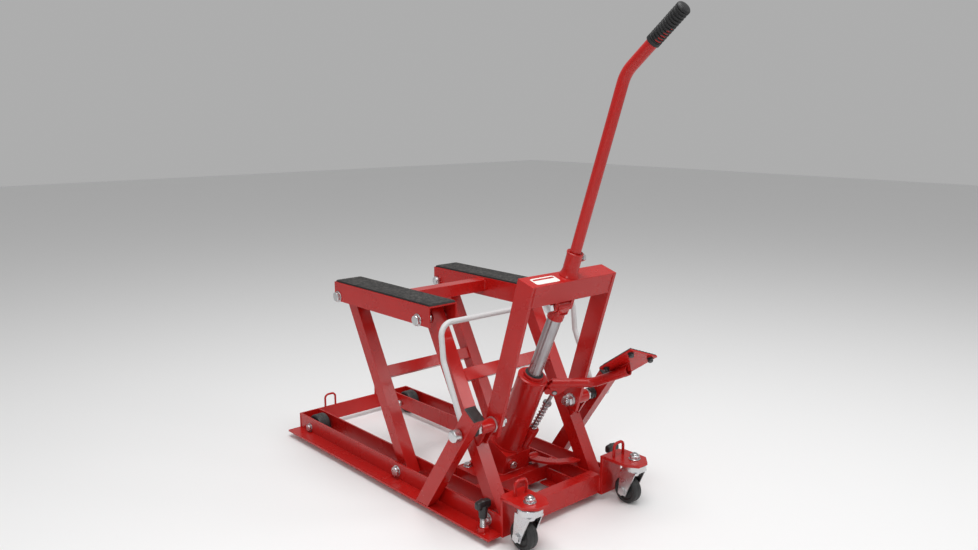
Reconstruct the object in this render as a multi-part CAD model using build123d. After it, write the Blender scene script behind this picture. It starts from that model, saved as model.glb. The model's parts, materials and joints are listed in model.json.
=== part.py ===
from build123d import *
import math
import os

# Hydraulic lift jack on casters, drawn raised.
# X is across the jack, +Y runs towards the fixed wheels, Z is up from the floor.
# Lengths along Y are counted from the rear arm pivot and moved to the common centre on writing.

os.makedirs("parts", exist_ok=True)

# ---------------------------------------------------------------- driving dimensions
centre_shift = 84.24           # brings the middle of the overall length to Y = 0

rail_front = -329.0
rail_rear = 405.0
rail_outer = 161.0             # outer face of the outer rail wall
rail_inner = 107.0             # face of the inner rail wall towards the middle
rail_sheet = 4.0
rail_low = 13.0
rail_top = 51.0
flange_edge = 195.0
flange_top = rail_low + rail_sheet
first_stop = 15.0
stop_pitch = 30.0
stop_count = 5
stop_r = 4.0
floor_lock_x = 180.0
floor_lock_y = -298.0
floor_screw_r = 6.0
floor_screw_length = 52.0
floor_nut_top = 27.0

pivot_z = 33.0                 # height of the four arm pivots
front_pivot_y = -288.4
rear_pivot_y = 0.0
arm_rise = 346.7               # from lower to upper pivot, raised
arm_run = 191.8
arm_centre = 129.0             # distance of the arm centre from the middle plane
arm_side = 29.0                # square tube
arm_sheet = 2.5
arm_end = 17.0                 # tube beyond each pivot
pivot_bolt_r = 7.0
pivot_flat = 10.5              # half the spanner size of the pivot bolts
pivot_bush_r = 11.0
running_gap = 0.05
part_gap = 0.5

saddle_inner = 104.0
saddle_outer = 172.5
saddle_top = 411.4
saddle_height = 41.5
saddle_sheet = 3.0
saddle_front = -133.6
saddle_rear = 205.9
pad_thickness = 5.0

wheel_r = 27.5
rear_wheel_y = 359.0
rear_wheel_x = 134.0
rear_wheel_width = 30.0
axle_r = 5.0
axle_flat = 8.5

caster_x = 145.6
caster_y = -385.5
caster_plate_top = 95.4
caster_plate_sheet = 6.0
caster_trail = 14.0
caster_wheel_width = 22.0
kingpin_r = 6.0

yoke_lean = 17.0               # degrees forward of vertical
yoke_pin_y = -249.0
yoke_pin_z = 194.5
yoke_half_width = 112.2
yoke_leg_sheet = 8.0
yoke_leg_width = 40.0
yoke_leg_offset = 1.5          # leg centre behind the pin line
yoke_beam_base = 256.0         # along the legs, from the pin
yoke_beam_height = 42.0
yoke_beam_depth = 40.0

ram_lean = 24.0                # degrees forward of vertical
clevis_y = -312.0
clevis_z = 420.0
cylinder_r = 30.0
rod_r = 14.0
collar_drop = 166.0            # collar top below the clevis pin, along the ram
cylinder_length = 178.0

pump_out = (0.75, -0.66)       # horizontal direction from the cylinder towards the pump
pump_link = (40.0, -262.5, 231.0)
pump_foot = (29.0, -211.2, 136.2)

handle_lean = 18.5
handle_r = 10.5
socket_r = 15.0

lock_bar_x = 183.5
lock_bar_width = 23.0
lock_bar_depth = 32.0
lock_lean = 33.8               # lower end runs back from the pin, degrees from vertical
bail_x = 180.0
bail_r = 5.5

# ---------------------------------------------------------------- helpers
SIDES = {"left": -1, "right": 1}
LOW = (Align.CENTER, Align.CENTER, Align.MIN)
LENGTHWISE = Plane(origin=(0, 0, 0), x_dir=(0, 1, 0), z_dir=(1, 0, 0))


def save(node, *shapes):
    """Write one node, moved to the common centre, as one solid or a group of solids."""
    moved = [Pos(0, centre_shift, 0) * shape for shape in shapes]
    solids = [solid for shape in moved for solid in shape.solids()]
    export_step(solids[0] if len(solids) == 1 else Compound(children=solids), f"parts/{node}.step")


def block(x0, x1, y0, y1, z0, z1):
    """Box between two corners."""
    centre = Pos((x0 + x1) / 2, (y0 + y1) / 2, (z0 + z1) / 2)
    return centre * Box(abs(x1 - x0), abs(y1 - y0), abs(z1 - z0))


def rod(start, end, radius):
    """Round bar between two points."""
    along = Vector(*end) - Vector(*start)
    return Plane(origin=start, z_dir=along) * Cylinder(radius, along.length, align=LOW)


def across(x0, x1, y, z, radius):
    """Round bar along X."""
    return rod((min(x0, x1), y, z), (max(x0, x1), y, z), radius)


def hexagon(start, end, flat_radius):
    """Hexagonal bar between two points."""
    along = Vector(*end) - Vector(*start)
    plane = Plane(origin=start, z_dir=along)
    return plane * extrude(RegularPolygon(flat_radius, 6, major_radius=False), along.length)


def hex_across(x0, x1, y, z, flat_radius):
    return hexagon((min(x0, x1), y, z), (max(x0, x1), y, z), flat_radius)


def slanted(start, end, width, depth):
    """Rectangular bar between two points of a lengthwise plane: width along X, depth in the plane."""
    along = Vector(*end) - Vector(*start)
    return Plane(origin=start, x_dir=(1, 0, 0), z_dir=along) * Box(width, depth, along.length, align=LOW)


def slanted_tube(start, end, width, depth, sheet):
    """Hollow rectangular bar between two points of a lengthwise plane."""
    return slanted(start, end, width, depth) - slanted(start, end, width - 2 * sheet, depth - 2 * sheet)


def tilted(y, z, lean, along, out=0.0):
    """Point of a lengthwise plane, along a line leaning forward from (y, z), and out behind it."""
    angle = math.radians(lean)
    step_y = -along * math.sin(angle) + out * math.cos(angle)
    step_z = along * math.cos(angle) + out * math.sin(angle)
    return y + step_y, z + step_z


def bent_tube(points, radius, bends):
    """Round bar along straight runs joined by arcs."""
    path = FilletPolyline(*points, radius=bends)
    first = Vector(*points[1]) - Vector(*points[0])
    return sweep(Plane(origin=points[0], z_dir=first) * Circle(radius), path=path)


def loop(x, y, z, width, height, radius):
    """Bent rod loop standing on a surface, in a plane across the jack."""
    half = width / 2 - radius
    crown = z + height - radius
    return bent_tube([(x - half, y, z), (x - half, y, crown), (x + half, y, crown), (x + half, y, z)],
                     radius, half * 0.7)


# ---------------------------------------------------------------- base frame
def outer_rail(side):
    """Outer rail wall with its floor flange, five stop ribs on it, and the floor lock nut welded on."""
    s = SIDES[side]
    wall = block(s * (rail_outer - rail_sheet), s * rail_outer, rail_front, rail_rear, rail_low, rail_top)
    flange = block(s * rail_outer, s * flange_edge, rail_front, rail_rear, rail_low, flange_top)
    rail = wall + flange
    for stop in range(stop_count):
        rail += across(s * 162, s * 188, first_stop - stop_pitch * stop, flange_top - 2, stop_r)
    for y in (front_pivot_y, rear_pivot_y):
        rail -= across(s * 150, s * 170, y, pivot_z, pivot_bolt_r + part_gap / 2)
    rail -= across(s * 150, s * 170, rear_wheel_y, wheel_r, axle_r + part_gap / 2)
    x, y = s * floor_lock_x, floor_lock_y
    rail += hexagon((x, y, flange_top), (x, y, floor_nut_top), 10)
    return rail - rod((x, y, 0), (x, y, floor_nut_top + 3), floor_screw_r + running_gap)


def inner_rail(s):
    """Flat inner wall of one rail."""
    rail = block(s * rail_inner, s * (rail_inner + rail_sheet), rail_front, rail_rear, rail_low, rail_top)
    for y in (front_pivot_y, rear_pivot_y):
        rail -= across(s * 100, s * 120, y, pivot_z, pivot_bolt_r + part_gap / 2)
    return rail - across(s * 100, s * 120, rear_wheel_y, wheel_r, axle_r + part_gap / 2)


def caster_bracket(side):
    """Upright plate closing the rail end, with a chamfered top plate reaching forward over the caster."""
    s = SIDES[side]
    back = rail_front - caster_plate_sheet
    upright = block(s * rail_inner, s * (rail_outer + 4), back, rail_front, rail_low, caster_plate_top)
    front = caster_y - 28
    inner = caster_x - 36
    outer = caster_x + 26
    outline = Polyline((s * inner, back), (s * inner, front + 22), (s * (inner + 16), front),
                       (s * (outer - 20), front), (s * outer, front + 20), (s * outer, back),
                       close=True)
    low = caster_plate_top - caster_plate_sheet
    bracket = upright + Pos(0, 0, low) * extrude(make_face(outline), caster_plate_sheet)
    x = s * caster_x
    return bracket - rod((x, caster_y, 80), (x, caster_y, 110), kingpin_r + part_gap / 2)


for side in SIDES:
    save(f"outer_rail_{side}", outer_rail(side))
    save(f"caster_bracket_{side}", caster_bracket(side))
save("inner_rails", inner_rail(-1), inner_rail(1))

save("rear_plate", block(-rail_outer, rail_outer, rail_rear, rail_rear + 4, rail_low, rail_top))

cross_height = (16.0, 56.0)
front_tube = block(-rail_inner, rail_inner, -329, -303, *cross_height)
front_tube -= block(-rail_inner, rail_inner, -326, -306, cross_height[0] + 3, cross_height[1] - 3)

middle_tube = block(-rail_inner, rail_inner, -217, -192, 21, 50.6)
middle_tube -= block(-rail_inner, rail_inner, -214, -195, 24, 47.6)
save("cross_tubes", front_tube, middle_tube)

bed_rear = -82.0
bed_rails = [block(-rail_inner, rail_inner, bed_rear - 6, bed_rear, 16, 44)]
for s in (-1, 1):
    web = block(s * 66, s * 70, -303, -217, 16, 46)
    foot = block(s * 48, s * 66, -303, -217, 16, 20)
    bed_rails.append(web + foot)
    web = block(s * 66, s * 70, -192, bed_rear - 6, 16, 44)
    bed_rails.append(web)
save("power_unit_bed", block(-66, 66, -192, bed_rear - 6, 38, 44), *bed_rails)

tie_loops = [loop(s * 75, rail_rear + 2, rail_top, 34, 33, 2.5) for s in (-1, 1)]
tie_loops += [loop(s * 136, -352, caster_plate_top, 34, 31, 3.0) for s in (-1, 1)]
save("tie_down_loops", *tie_loops)

# Bolts through the rails, each with its head outside and its nut inside.
frame_bolts = []
for s in (-1, 1):
    for y in (front_pivot_y, rear_pivot_y):
        bolt = across(s * 95, s * 163, y, pivot_z, pivot_bolt_r)
        bolt += hex_across(s * 161.2, s * 168, y, pivot_z, pivot_flat)
        bolt += hex_across(s * 97, s * 106.8, y, pivot_z, pivot_flat)
        spacer = across(s * 144.5, s * 156.5, y, pivot_z, pivot_bush_r)
        frame_bolts.append(bolt + spacer)
for s in (-1, 1):
    bolt = across(s * 97, s * 163, rear_wheel_y, wheel_r, axle_r)
    bolt += hex_across(s * 161.2, s * 167, rear_wheel_y, wheel_r, axle_flat)
    bolt += hex_across(s * 99, s * 106.8, rear_wheel_y, wheel_r, axle_flat)
    frame_bolts.append(bolt)
save("frame_bolts", *frame_bolts)

# ---------------------------------------------------------------- wheels
for side, s in SIDES.items():
    centre = (s * rear_wheel_x, rear_wheel_y, wheel_r)
    half = rear_wheel_width / 2
    tyre = across(centre[0] - half, centre[0] + half, centre[1], centre[2], wheel_r)
    tyre = chamfer(tyre.edges().filter_by(GeomType.CIRCLE), 2.5)
    tyre += across(centre[0] - half - 7, centre[0] + half + 7, centre[1], centre[2], 10)
    tyre -= across(centre[0] - 30, centre[0] + 30, centre[1], centre[2], axle_r + running_gap)
    save(f"rear_wheel_{side}", tyre)

fork_top = caster_plate_top - caster_plate_sheet
fork_wheel_y = caster_y + caster_trail
for side, s in SIDES.items():
    x = s * caster_x
    # Two pressed races round the kingpin, and a fork with two cheeks.
    fork = rod((x, caster_y, 74), (x, caster_y, fork_top - part_gap), 20)
    fork += rod((x, caster_y, 77.5), (x, caster_y, 86.5), 24)
    fork -= rod((x, caster_y, 60), (x, caster_y, 100), kingpin_r + running_gap)
    fork += block(x - 18, x + 18, caster_y - 17, caster_y + 20, 70.5, 74) - \
        rod((x, caster_y, 60), (x, caster_y, 100), kingpin_r + running_gap)
    cheek_outline = Polyline((caster_y - 17, 74), (fork_wheel_y - 11, wheel_r),
                             (fork_wheel_y - 8, wheel_r - 9), (fork_wheel_y + 8, wheel_r - 9),
                             (fork_wheel_y + 11, wheel_r), (caster_y + 20, 74), close=True)
    cheek = extrude(LENGTHWISE * make_face(cheek_outline), 3)
    for start in (x - 18, x + 15):
        fork += Pos(start, 0, 0) * cheek
    fork -= across(x - 25, x + 25, fork_wheel_y, wheel_r, axle_r)
    axle = across(x - 21, x + 21, fork_wheel_y, wheel_r, axle_r)
    axle += hex_across(x - 22.5, x - 18, fork_wheel_y, wheel_r, 7.5)
    axle += hex_across(x + 18, x + 22.5, fork_wheel_y, wheel_r, 7.5)
    save(f"caster_fork_{side}", fork, axle)
    half = caster_wheel_width / 2
    wheel = across(x - half, x + half, fork_wheel_y, wheel_r, wheel_r)
    wheel = fillet(wheel.edges().filter_by(GeomType.CIRCLE), 4)
    wheel += across(x - half - 2.5, x + half + 2.5, fork_wheel_y, wheel_r, 9)
    wheel -= across(x - 20, x + 20, fork_wheel_y, wheel_r, axle_r + running_gap)
    save(f"caster_wheel_{side}", wheel)

kingpins = []
for s in (-1, 1):
    x = s * caster_x
    pin = rod((x, caster_y, 66), (x, caster_y, 108), kingpin_r)
    pin += hexagon((x, caster_y, caster_plate_top + 2), (x, caster_y, 105.5), 9)
    pin += rod((x, caster_y, caster_plate_top), (x, caster_y, caster_plate_top + 2), 12)
    pin += rod((x, caster_y, 62), (x, caster_y, 70), 10)
    kingpins.append(pin)
save("caster_kingpins", *kingpins)

# ---------------------------------------------------------------- floor locks
screw_top = {"left": 56.0, "right": 68.0}
for side, s in SIDES.items():
    x = s * floor_lock_x
    top = screw_top[side]
    screw = rod((x, floor_lock_y, top - floor_screw_length), (x, floor_lock_y, top), floor_screw_r)
    save(f"floor_lock_screw_{side}", screw)
    knob = rod((x, floor_lock_y, top - 11), (x, floor_lock_y, top + 16), 9.5)
    knob += block(x - 17, x + 17, floor_lock_y - 7, floor_lock_y + 7, top + 6, top + 24)
    knob = fillet(knob.edges().filter_by(Axis.Z), 3)
    knob -= rod((x, floor_lock_y, 0), (x, floor_lock_y, top), floor_screw_r)
    save(f"floor_lock_knob_{side}", knob)

# ---------------------------------------------------------------- arms
arm_length = math.hypot(arm_rise, arm_run)
arm_y = arm_run / arm_length
arm_z = arm_rise / arm_length


def arm_point(base_y, along, ahead=0.0):
    """Point on an arm's line, and a distance ahead of its front face direction."""
    return base_y + along * arm_y - ahead * arm_z, pivot_z + along * arm_z + ahead * arm_y


def arm(base_y, s):
    """Square tube with a bush at each pivot."""
    low = arm_point(base_y, -arm_end)
    high = arm_point(base_y, arm_length + arm_end)
    x = s * arm_centre
    tube = slanted_tube((x, *low), (x, *high), arm_side, arm_side, arm_sheet)
    for along in (0, arm_length):
        y, z = arm_point(base_y, along)
        tube += across(x - arm_side / 2, x + arm_side / 2, y, z, pivot_bush_r)
    for along in (0, arm_length):
        y, z = arm_point(base_y, along)
        tube -= across(x - 30, x + 30, y, z, pivot_bolt_r + running_gap)
    return tube


def arm_bar(base_y, along, ahead):
    """Square tube joining two arms."""
    y, z = arm_point(base_y, along, ahead)
    reach = arm_centre - arm_side / 2
    place = Plane(origin=(-reach, y, z), x_dir=(0, arm_z, -arm_y), z_dir=(1, 0, 0))
    length = 2 * reach
    return place * (Box(22, 25, length, align=LOW) - Box(18, 21, length, align=LOW))


for side, s in SIDES.items():
    save(f"front_arm_{side}", arm(front_pivot_y, s))
    save(f"rear_arm_{side}", arm(rear_pivot_y, s))
save("front_arm_bar", arm_bar(front_pivot_y, 268, 3))
save("rear_arm_bar", arm_bar(rear_pivot_y, 209, 0))

# Boss tube and two gusset plates on the front face of each front arm, carrying the lock pin.
boss_in = yoke_half_width + 4.0
boss_out = boss_in + 31.0
lock_pin_r = 7.0
bosses = []
for s in (-1, 1):
    boss = across(s * boss_in, s * boss_out, yoke_pin_y, yoke_pin_z, 13)
    pin_along = (yoke_pin_y - front_pivot_y) * arm_y + (yoke_pin_z - pivot_z) * arm_z
    face = arm_side / 2
    corners = [arm_point(front_pivot_y, pin_along - 30, face),
               arm_point(front_pivot_y, pin_along + 24, face),
               (yoke_pin_y + 2, yoke_pin_z + 12), (yoke_pin_y - 9, yoke_pin_z - 9)]
    profile = LENGTHWISE * make_face(Polyline(*corners, close=True))
    for start in (arm_centre - arm_side / 2 + 2, arm_centre + arm_side / 2 - 7):
        inner = s * start if s > 0 else s * start - 5
        boss += Pos(inner, 0, 0) * extrude(profile, 5)
    boss -= across(s * 100, s * 170, yoke_pin_y, yoke_pin_z, lock_pin_r + part_gap / 4)
    bosses.append(boss)
save("lock_bosses", *bosses)

# Pins with their big outer heads, collars and the washer against the yoke.
lock_in = lock_bar_x - lock_bar_width / 2
lock_out = lock_bar_x + lock_bar_width / 2
pin_y, pin_z = yoke_pin_y, yoke_pin_z
lock_pins = []
for s in (-1, 1):
    pin = across(s * (yoke_half_width + 0.6), s * (lock_out + 4), pin_y, pin_z, lock_pin_r)
    pin += across(s * (lock_out + 2), s * (lock_out + 18), pin_y, pin_z, 12)
    pin += across(s * (yoke_half_width + 0.6), s * (boss_in - 0.1), pin_y, pin_z, 15.5)
    nut = hex_across(s * (boss_out + 0.1), s * (boss_out + 8), pin_y, pin_z, pivot_flat)
    nut += across(s * (boss_out + 8), s * (lock_in - 2), pin_y, pin_z, 12.5)
    lock_pins.append(pin + nut)
save("lock_pins", *lock_pins)

# ---------------------------------------------------------------- platform
upper_z = pivot_z + arm_rise
upper_ys = (front_pivot_y + arm_run, rear_pivot_y + arm_run)
for side, s in SIDES.items():
    x0, x1 = s * saddle_inner, s * saddle_outer
    channel = block(x0, x1, saddle_front, saddle_rear, saddle_top - saddle_height, saddle_top)
    hollow = block(s * (saddle_inner + saddle_sheet), s * (saddle_outer - saddle_sheet), saddle_front - 1,
                   saddle_rear + 1, saddle_top - saddle_height - 1, saddle_top - saddle_sheet)
    channel -= hollow
    for y in upper_ys:
        channel -= across(s * 95, s * 180, y, upper_z, pivot_bolt_r + part_gap / 2)
    save(f"saddle_{side}", channel)
    pad = block(s * (saddle_inner + 2), s * (saddle_outer - 2), saddle_front + 1, saddle_rear - 3,
                saddle_top, saddle_top + pad_thickness)
    save(f"saddle_pad_{side}", pad)

bar = block(-saddle_inner, saddle_inner, 20, 50, 381, 407)
save("saddle_bar", bar - block(-saddle_inner, saddle_inner, 23, 47, 384, 404))

saddle_bolts = []
for s in (-1, 1):
    for y in upper_ys:
        bolt = across(s * 94, s * 175, y, upper_z, pivot_bolt_r)
        bolt += hex_across(s * 172.7, s * 180, y, upper_z, pivot_flat)
        bolt += hex_across(s * 96, s * 103.8, y, upper_z, pivot_flat)
        saddle_bolts.append(bolt + across(s * 144.5, s * 169, y, upper_z, pivot_bush_r))
save("saddle_bolts", *saddle_bolts)

# ---------------------------------------------------------------- yoke
def yoke_point(along, out=0.0):
    return tilted(yoke_pin_y, yoke_pin_z, yoke_lean, along, out)


leg_low = yoke_point(-20, yoke_leg_offset)
leg_high = yoke_point(yoke_beam_base + yoke_beam_height, yoke_leg_offset)
leg_x = yoke_half_width - yoke_leg_sheet / 2
legs = []
for s in (-1, 1):
    legs.append(slanted((s * leg_x, *leg_low), (s * leg_x, *leg_high), yoke_leg_sheet, yoke_leg_width))
save("yoke_legs", *legs)

beam_half = yoke_half_width - yoke_leg_sheet
beam_low = (0, *yoke_point(yoke_beam_base, yoke_leg_offset))
beam_high = (0, *yoke_point(yoke_beam_base + yoke_beam_height, yoke_leg_offset))
beam = slanted(beam_low, beam_high, 2 * beam_half, yoke_beam_depth)
core_low = (0, *yoke_point(yoke_beam_base + 3, yoke_leg_offset))
core_high = (0, *yoke_point(yoke_beam_base + yoke_beam_height - 3, yoke_leg_offset))
beam -= slanted(core_low, core_high, 2 * beam_half, yoke_beam_depth - 6)
save("yoke_beam", beam)

# Two ears under the beam hold the clevis pin between them.
ear_gap = 16.0
ear_sheet = 8.0
clevis_pin_r = 6.0
ears = []
ear_top = yoke_point(yoke_beam_base, 5)
for s in (-1, 1):
    x = s * (ear_gap + ear_sheet / 2)
    ear = slanted((x, clevis_y, clevis_z), (x, *ear_top), ear_sheet, 24)
    ear += across(x - ear_sheet / 2, x + ear_sheet / 2, clevis_y, clevis_z, 12)
    ears.append(ear - across(x - 10, x + 10, clevis_y, clevis_z, clevis_pin_r + running_gap))
underside = slanted(beam_low, beam_high, 60, 80)
save("clevis_ears", *[ear - underside for ear in ears])

inner_nuts = []
for s in (-1, 1):
    x = yoke_half_width - yoke_leg_sheet
    nut = across(s * (x - 2.5), s * x, pin_y, pin_z, 13.5)
    nut += hex_across(s * (x - 14), s * (x - 2.5), pin_y, pin_z, pivot_flat)
    inner_nuts.append(nut + across(s * (x - 22), s * (x - 14), pin_y, pin_z, lock_pin_r))

socket_low = yoke_point(yoke_beam_base + yoke_beam_height, 2)
socket_high = tilted(*socket_low, handle_lean, 48)
socket = rod((0, *tilted(*socket_low, handle_lean, -8)), (0, *socket_high), socket_r)
bore_low = tilted(*socket_low, handle_lean, -12)
bore_high = tilted(*socket_low, handle_lean, 60)
socket -= rod((0, *bore_low), (0, *bore_high), handle_r)
socket -= slanted(beam_low, beam_high, 60, 80)
clamp_at = tilted(*socket_low, handle_lean, 34)
clamp = rod((handle_r + 0.2, *clamp_at), (socket_r + 7, *clamp_at), 4)
clamp += hexagon((socket_r + 5, *clamp_at), (socket_r + 12, *clamp_at), 6.5)
save("handle_socket", socket - rod((5, *clamp_at), (30, *clamp_at), 4))
save("yoke_fasteners", clamp, *inner_nuts)

bend_at = (0, *tilted(*socket_low, handle_lean, 380))
grip_end = (0, -568.3, 936.9)
handle_base = (0, *tilted(*socket_low, handle_lean, 1))
grip_line = Vector(*grip_end) - Vector(*bend_at)
save("handle", bent_tube([handle_base, bend_at, grip_end], handle_r, 62))
grip_start = Vector(*grip_end) - grip_line.normalized() * 77
grip_tip = Vector(*grip_end) + grip_line.normalized() * 3
grip = rod(tuple(grip_start), tuple(grip_tip), 13)
save("handle_grip", fillet(grip.edges().filter_by(GeomType.CIRCLE), 2.5)
     - rod(tuple(grip_start - grip_line.normalized()), grip_end, handle_r))

# ---------------------------------------------------------------- ram and power unit
def ram_point(drop, out=0.0):
    """Point on the ram's line below the clevis pin."""
    return tilted(clevis_y, clevis_z, ram_lean, -drop, out)


rod_low = (0, *ram_point(collar_drop + 42))
head_low = (0, *ram_point(29))
head_high = (0, *ram_point(-2))
ram_rod = rod(rod_low, head_low, rod_r)
ram_rod += rod(rod_low, (0, *ram_point(collar_drop + 22)), 21)
save("ram_rod", ram_rod)
head = rod(head_low, (0, *ram_point(12)), 16)
head += slanted((0, *ram_point(16)), head_high, 2 * (ear_gap - part_gap), 26)
head += across(-ear_gap + part_gap, ear_gap - part_gap, clevis_y, clevis_z, 13)
head_eye = across(-20, 20, clevis_y, clevis_z, 13)
head -= slanted((0, *ram_point(-1)), (0, *ram_point(-30)), 60, 60) - head_eye
save("ram_head", head - across(-20, 20, clevis_y, clevis_z, clevis_pin_r))
clevis_pin = across(-28, 28, clevis_y, clevis_z, clevis_pin_r)
clevis_pin += hex_across(-34, -24.3, clevis_y, clevis_z, 9.5)
clevis_pin += across(24.3, 28, clevis_y, clevis_z, 8.5)
save("clevis_pin", clevis_pin)

cylinder_base = ram_point(collar_drop + cylinder_length)
cylinder_top = ram_point(collar_drop + 9)
barrel = rod((0, *cylinder_base), (0, *cylinder_top), cylinder_r)
barrel -= rod((0, *ram_point(collar_drop + 175)), (0, *ram_point(collar_drop - 5)), 22)
collar = rod((0, *cylinder_top), (0, *ram_point(collar_drop + 3)), 27)
collar += rod((0, *ram_point(collar_drop + 4)), (0, *ram_point(collar_drop - 4)), 21)
collar -= rod((0, *ram_point(collar_drop + 30)), (0, *ram_point(collar_drop - 30)), rod_r + 0.1)
save("cylinder_collar", collar)

# Cast base: a wedge under the cylinder, bolted to the bed plate.
ends = [ram_point(collar_drop + cylinder_length, -34), ram_point(collar_drop + cylinder_length, 34)]
wedge_corners = [(-192, 50.6), ends[0], ends[1], (-92, 56), (-92, 44), (-192, 44)]
base_width = 68.0
wedge = LENGTHWISE * make_face(Polyline(*wedge_corners, close=True))
base = Pos(-base_width / 2, 0, 0) * extrude(wedge, base_width)


# ---------------------------------------------------------------- foot pump
foot = Vector(*pump_foot)
link = Vector(*pump_link)
plunge = (link - foot).normalized()
out = Vector(pump_out[0], pump_out[1], 0).normalized()
hinge = Vector(-0.626, -0.712, -0.317).normalized()
lever_plane = Plane(origin=(0, 0, 0), x_dir=out, z_dir=hinge)
pump_pivot = link - lever_plane.x_dir * 14.7 + lever_plane.y_dir * 6.3
pump_pin_r = 4.0

mouth = foot + plunge * 6
space_low = (0, *ram_point(collar_drop + cylinder_length + 5))
space_high = (0, *ram_point(collar_drop - 10))
cylinder_space = rod(space_low, space_high, cylinder_r + 0.01)
pump = rod(tuple(foot - plunge * 86), tuple(mouth), 11.5)
pump += rod(tuple(foot - plunge * 8), tuple(mouth), 13)
pump -= cylinder_space
pump -= base
pump -= rod(tuple(foot - plunge * 30), tuple(mouth + plunge), 5 + running_gap)
pump -= block(-100, 100, -300, 0, 0, 44.2)
save("pump_barrel", max(pump.solids(), key=lambda solid: solid.volume))


def lever_side(points, thickness, start):
    """Plate in the lever's own plane, from start along the hinge line."""
    place = Plane(origin=pump_pivot + hinge * start, x_dir=lever_plane.x_dir, z_dir=hinge)
    return place * extrude(make_face(Polyline(*points, close=True)), thickness)


def hinge_bar(centre, half, radius):
    """Round bar along the lever's hinge line."""
    return rod(tuple(centre - hinge * half), tuple(centre + hinge * half), radius)


# Lug on the cylinder carrying the lever pivot.
lug = lever_side([(-16, -9), (-16, 6), (0, 6), (0, -6)], 8, -4) + hinge_bar(pump_pivot, 4, 6)
lug += hinge_bar(pump_pivot, 9.5, pump_pin_r)
lug += hinge_bar(pump_pivot - hinge * 11, 2.2, 6.5)
lug += hinge_bar(pump_pivot + hinge * 11, 2.2, 6.5)
lug -= cylinder_space
save("ram_cylinder", barrel, max(lug.solids(), key=lambda solid: solid.volume))

seat = link - plunge * 36
plunger = rod(tuple(foot - plunge * 12), tuple(seat), 5) + rod(tuple(seat), tuple(link), 4)
plunger += rod(tuple(seat), tuple(seat + plunge * 5), 9)
plunger += hinge_bar(link, 4, 7)
plunger += hinge_bar(link, 9.5, pump_pin_r)
save("pump_plunger", plunger)

spring_ring = rod(tuple(mouth + plunge * 0.2), tuple(seat - plunge * 0.2), 7.4)
save("return_spring", spring_ring - rod(tuple(mouth - plunge), tuple(seat + plunge), 5.2))

tube_start = tuple(pump_pivot + lever_plane.x_dir * 10 + lever_plane.y_dir * 11.8)
tube_bend = tuple(pump_pivot + lever_plane.x_dir * 92 + lever_plane.y_dir * 11.8 - hinge * 2)
tread_centre = Vector(110, -389.6, 305)
tread_normal = Vector(0.40, 0.53, 0.75).normalized()
tread_long = (Vector(0, -76, 54) - tread_normal * Vector(0, -76, 54).dot(tread_normal)).normalized()
tube_end = tread_centre - tread_normal * 18 - tread_long * 2
lever = bent_tube([tube_start, tube_bend, tuple(tube_end)], 9.5, 30)
cheek = [(-4.5, -3), (-4.5, 4), (8, 16), (42, 16), (42, 7), (24, -8), (16, -14.5), (8, -13), (0, -5.5)]
for start in (-8.5, 4.5):
    lever += lever_side(cheek, 4, start)
tube_way = (tube_end - Vector(*tube_bend)).normalized()
lever -= rod(tuple(tube_end - tube_way * 24), tuple(tube_end + tube_way), 7.0)
lever -= hinge_bar(pump_pivot, 20, pump_pin_r + running_gap)
lever -= hinge_bar(link, 20, pump_pin_r + 1.4)
save("pump_lever", lever)

tread_plane = Plane(origin=tread_centre, x_dir=tread_long, z_dir=tread_normal)
tread = tread_plane * Pos(0, 0, -1.5) * Box(93, 66, 3)
web = tread_plane * Pos(-22, 0, -10) * Box(48, 6, 16)
screws = []
for u in (-36, 36):
    for v in (-24, 24):
        place = tread_plane * Pos(u, v, 0)
        screws.append(place * Pos(0, 0, -8) * Cylinder(4, 5) + place * Pos(0, 0, -5) * Cylinder(2, 10))
tread = tread + web - lever
save("tread_plate", *[solid for solid in tread.solids() if solid.volume > 200], *screws)
save("tread_pad", tread_plane * Pos(0, 0, 3) * Box(92, 65, 6))

# Curved release pedal on a pin at the side of the base casting.
pedal_plane = Plane(origin=(0, -185, 62), x_dir=(1, 0, 0), z_dir=(0, 0.084, 0.996))
pedal_edge = [(41, 8), (41, -30), (48, -55), (64, -76), (86, -90), (104, -94), (104, -70), (90, -66),
              (76, -54), (68, -38), (64, -20), (64, 8)]
pedal = pedal_plane * Pos(0, 0, -2) * extrude(make_face(Polyline(*pedal_edge, close=True)), 5)
pedal += across(41, 64, -185, 62, 9)
save("release_pedal", pedal - across(30, 70, -185, 62, 5 + running_gap))
pedal_pin = across(34, 67, -185, 62, 5) + across(65, 69, -185, 62, 8)
pedal_bracket = block(34, 40, -192, -177, 51, 70) - base
save("power_unit_base", base, pedal_pin + pedal_bracket)

# ---------------------------------------------------------------- lock bars
lock_angle = math.radians(lock_lean)
down = (math.sin(lock_angle), -math.cos(lock_angle))
caps = []
for side, s in SIDES.items():
    x = s * lock_bar_x
    low = (pin_y + 232 * down[0], pin_z + 232 * down[1])
    high = (pin_y - 52 * down[0], pin_z - 52 * down[1])
    top = (pin_y - 55.5 * down[0], pin_z - 55.5 * down[1])
    plug = (pin_y - 40 * down[0], pin_z - 40 * down[1])
    bar = slanted_tube((x, *low), (x, *high), lock_bar_width, lock_bar_depth, 2.5)
    bar -= block(x - 40, x + 40, -400, 100, -50, flange_top + 0.4)
    bar -= across(x - 30, x + 30, pin_y, pin_z, lock_pin_r + running_gap)
    save(f"lock_bar_{side}", bar)
    cap = slanted((x, *high), (x, *top), lock_bar_width + 1, lock_bar_depth + 1)
    caps.append(cap + slanted((x, *plug), (x, *high), lock_bar_width - 5, lock_bar_depth - 5))
save("lock_bar_caps", *caps)

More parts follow.
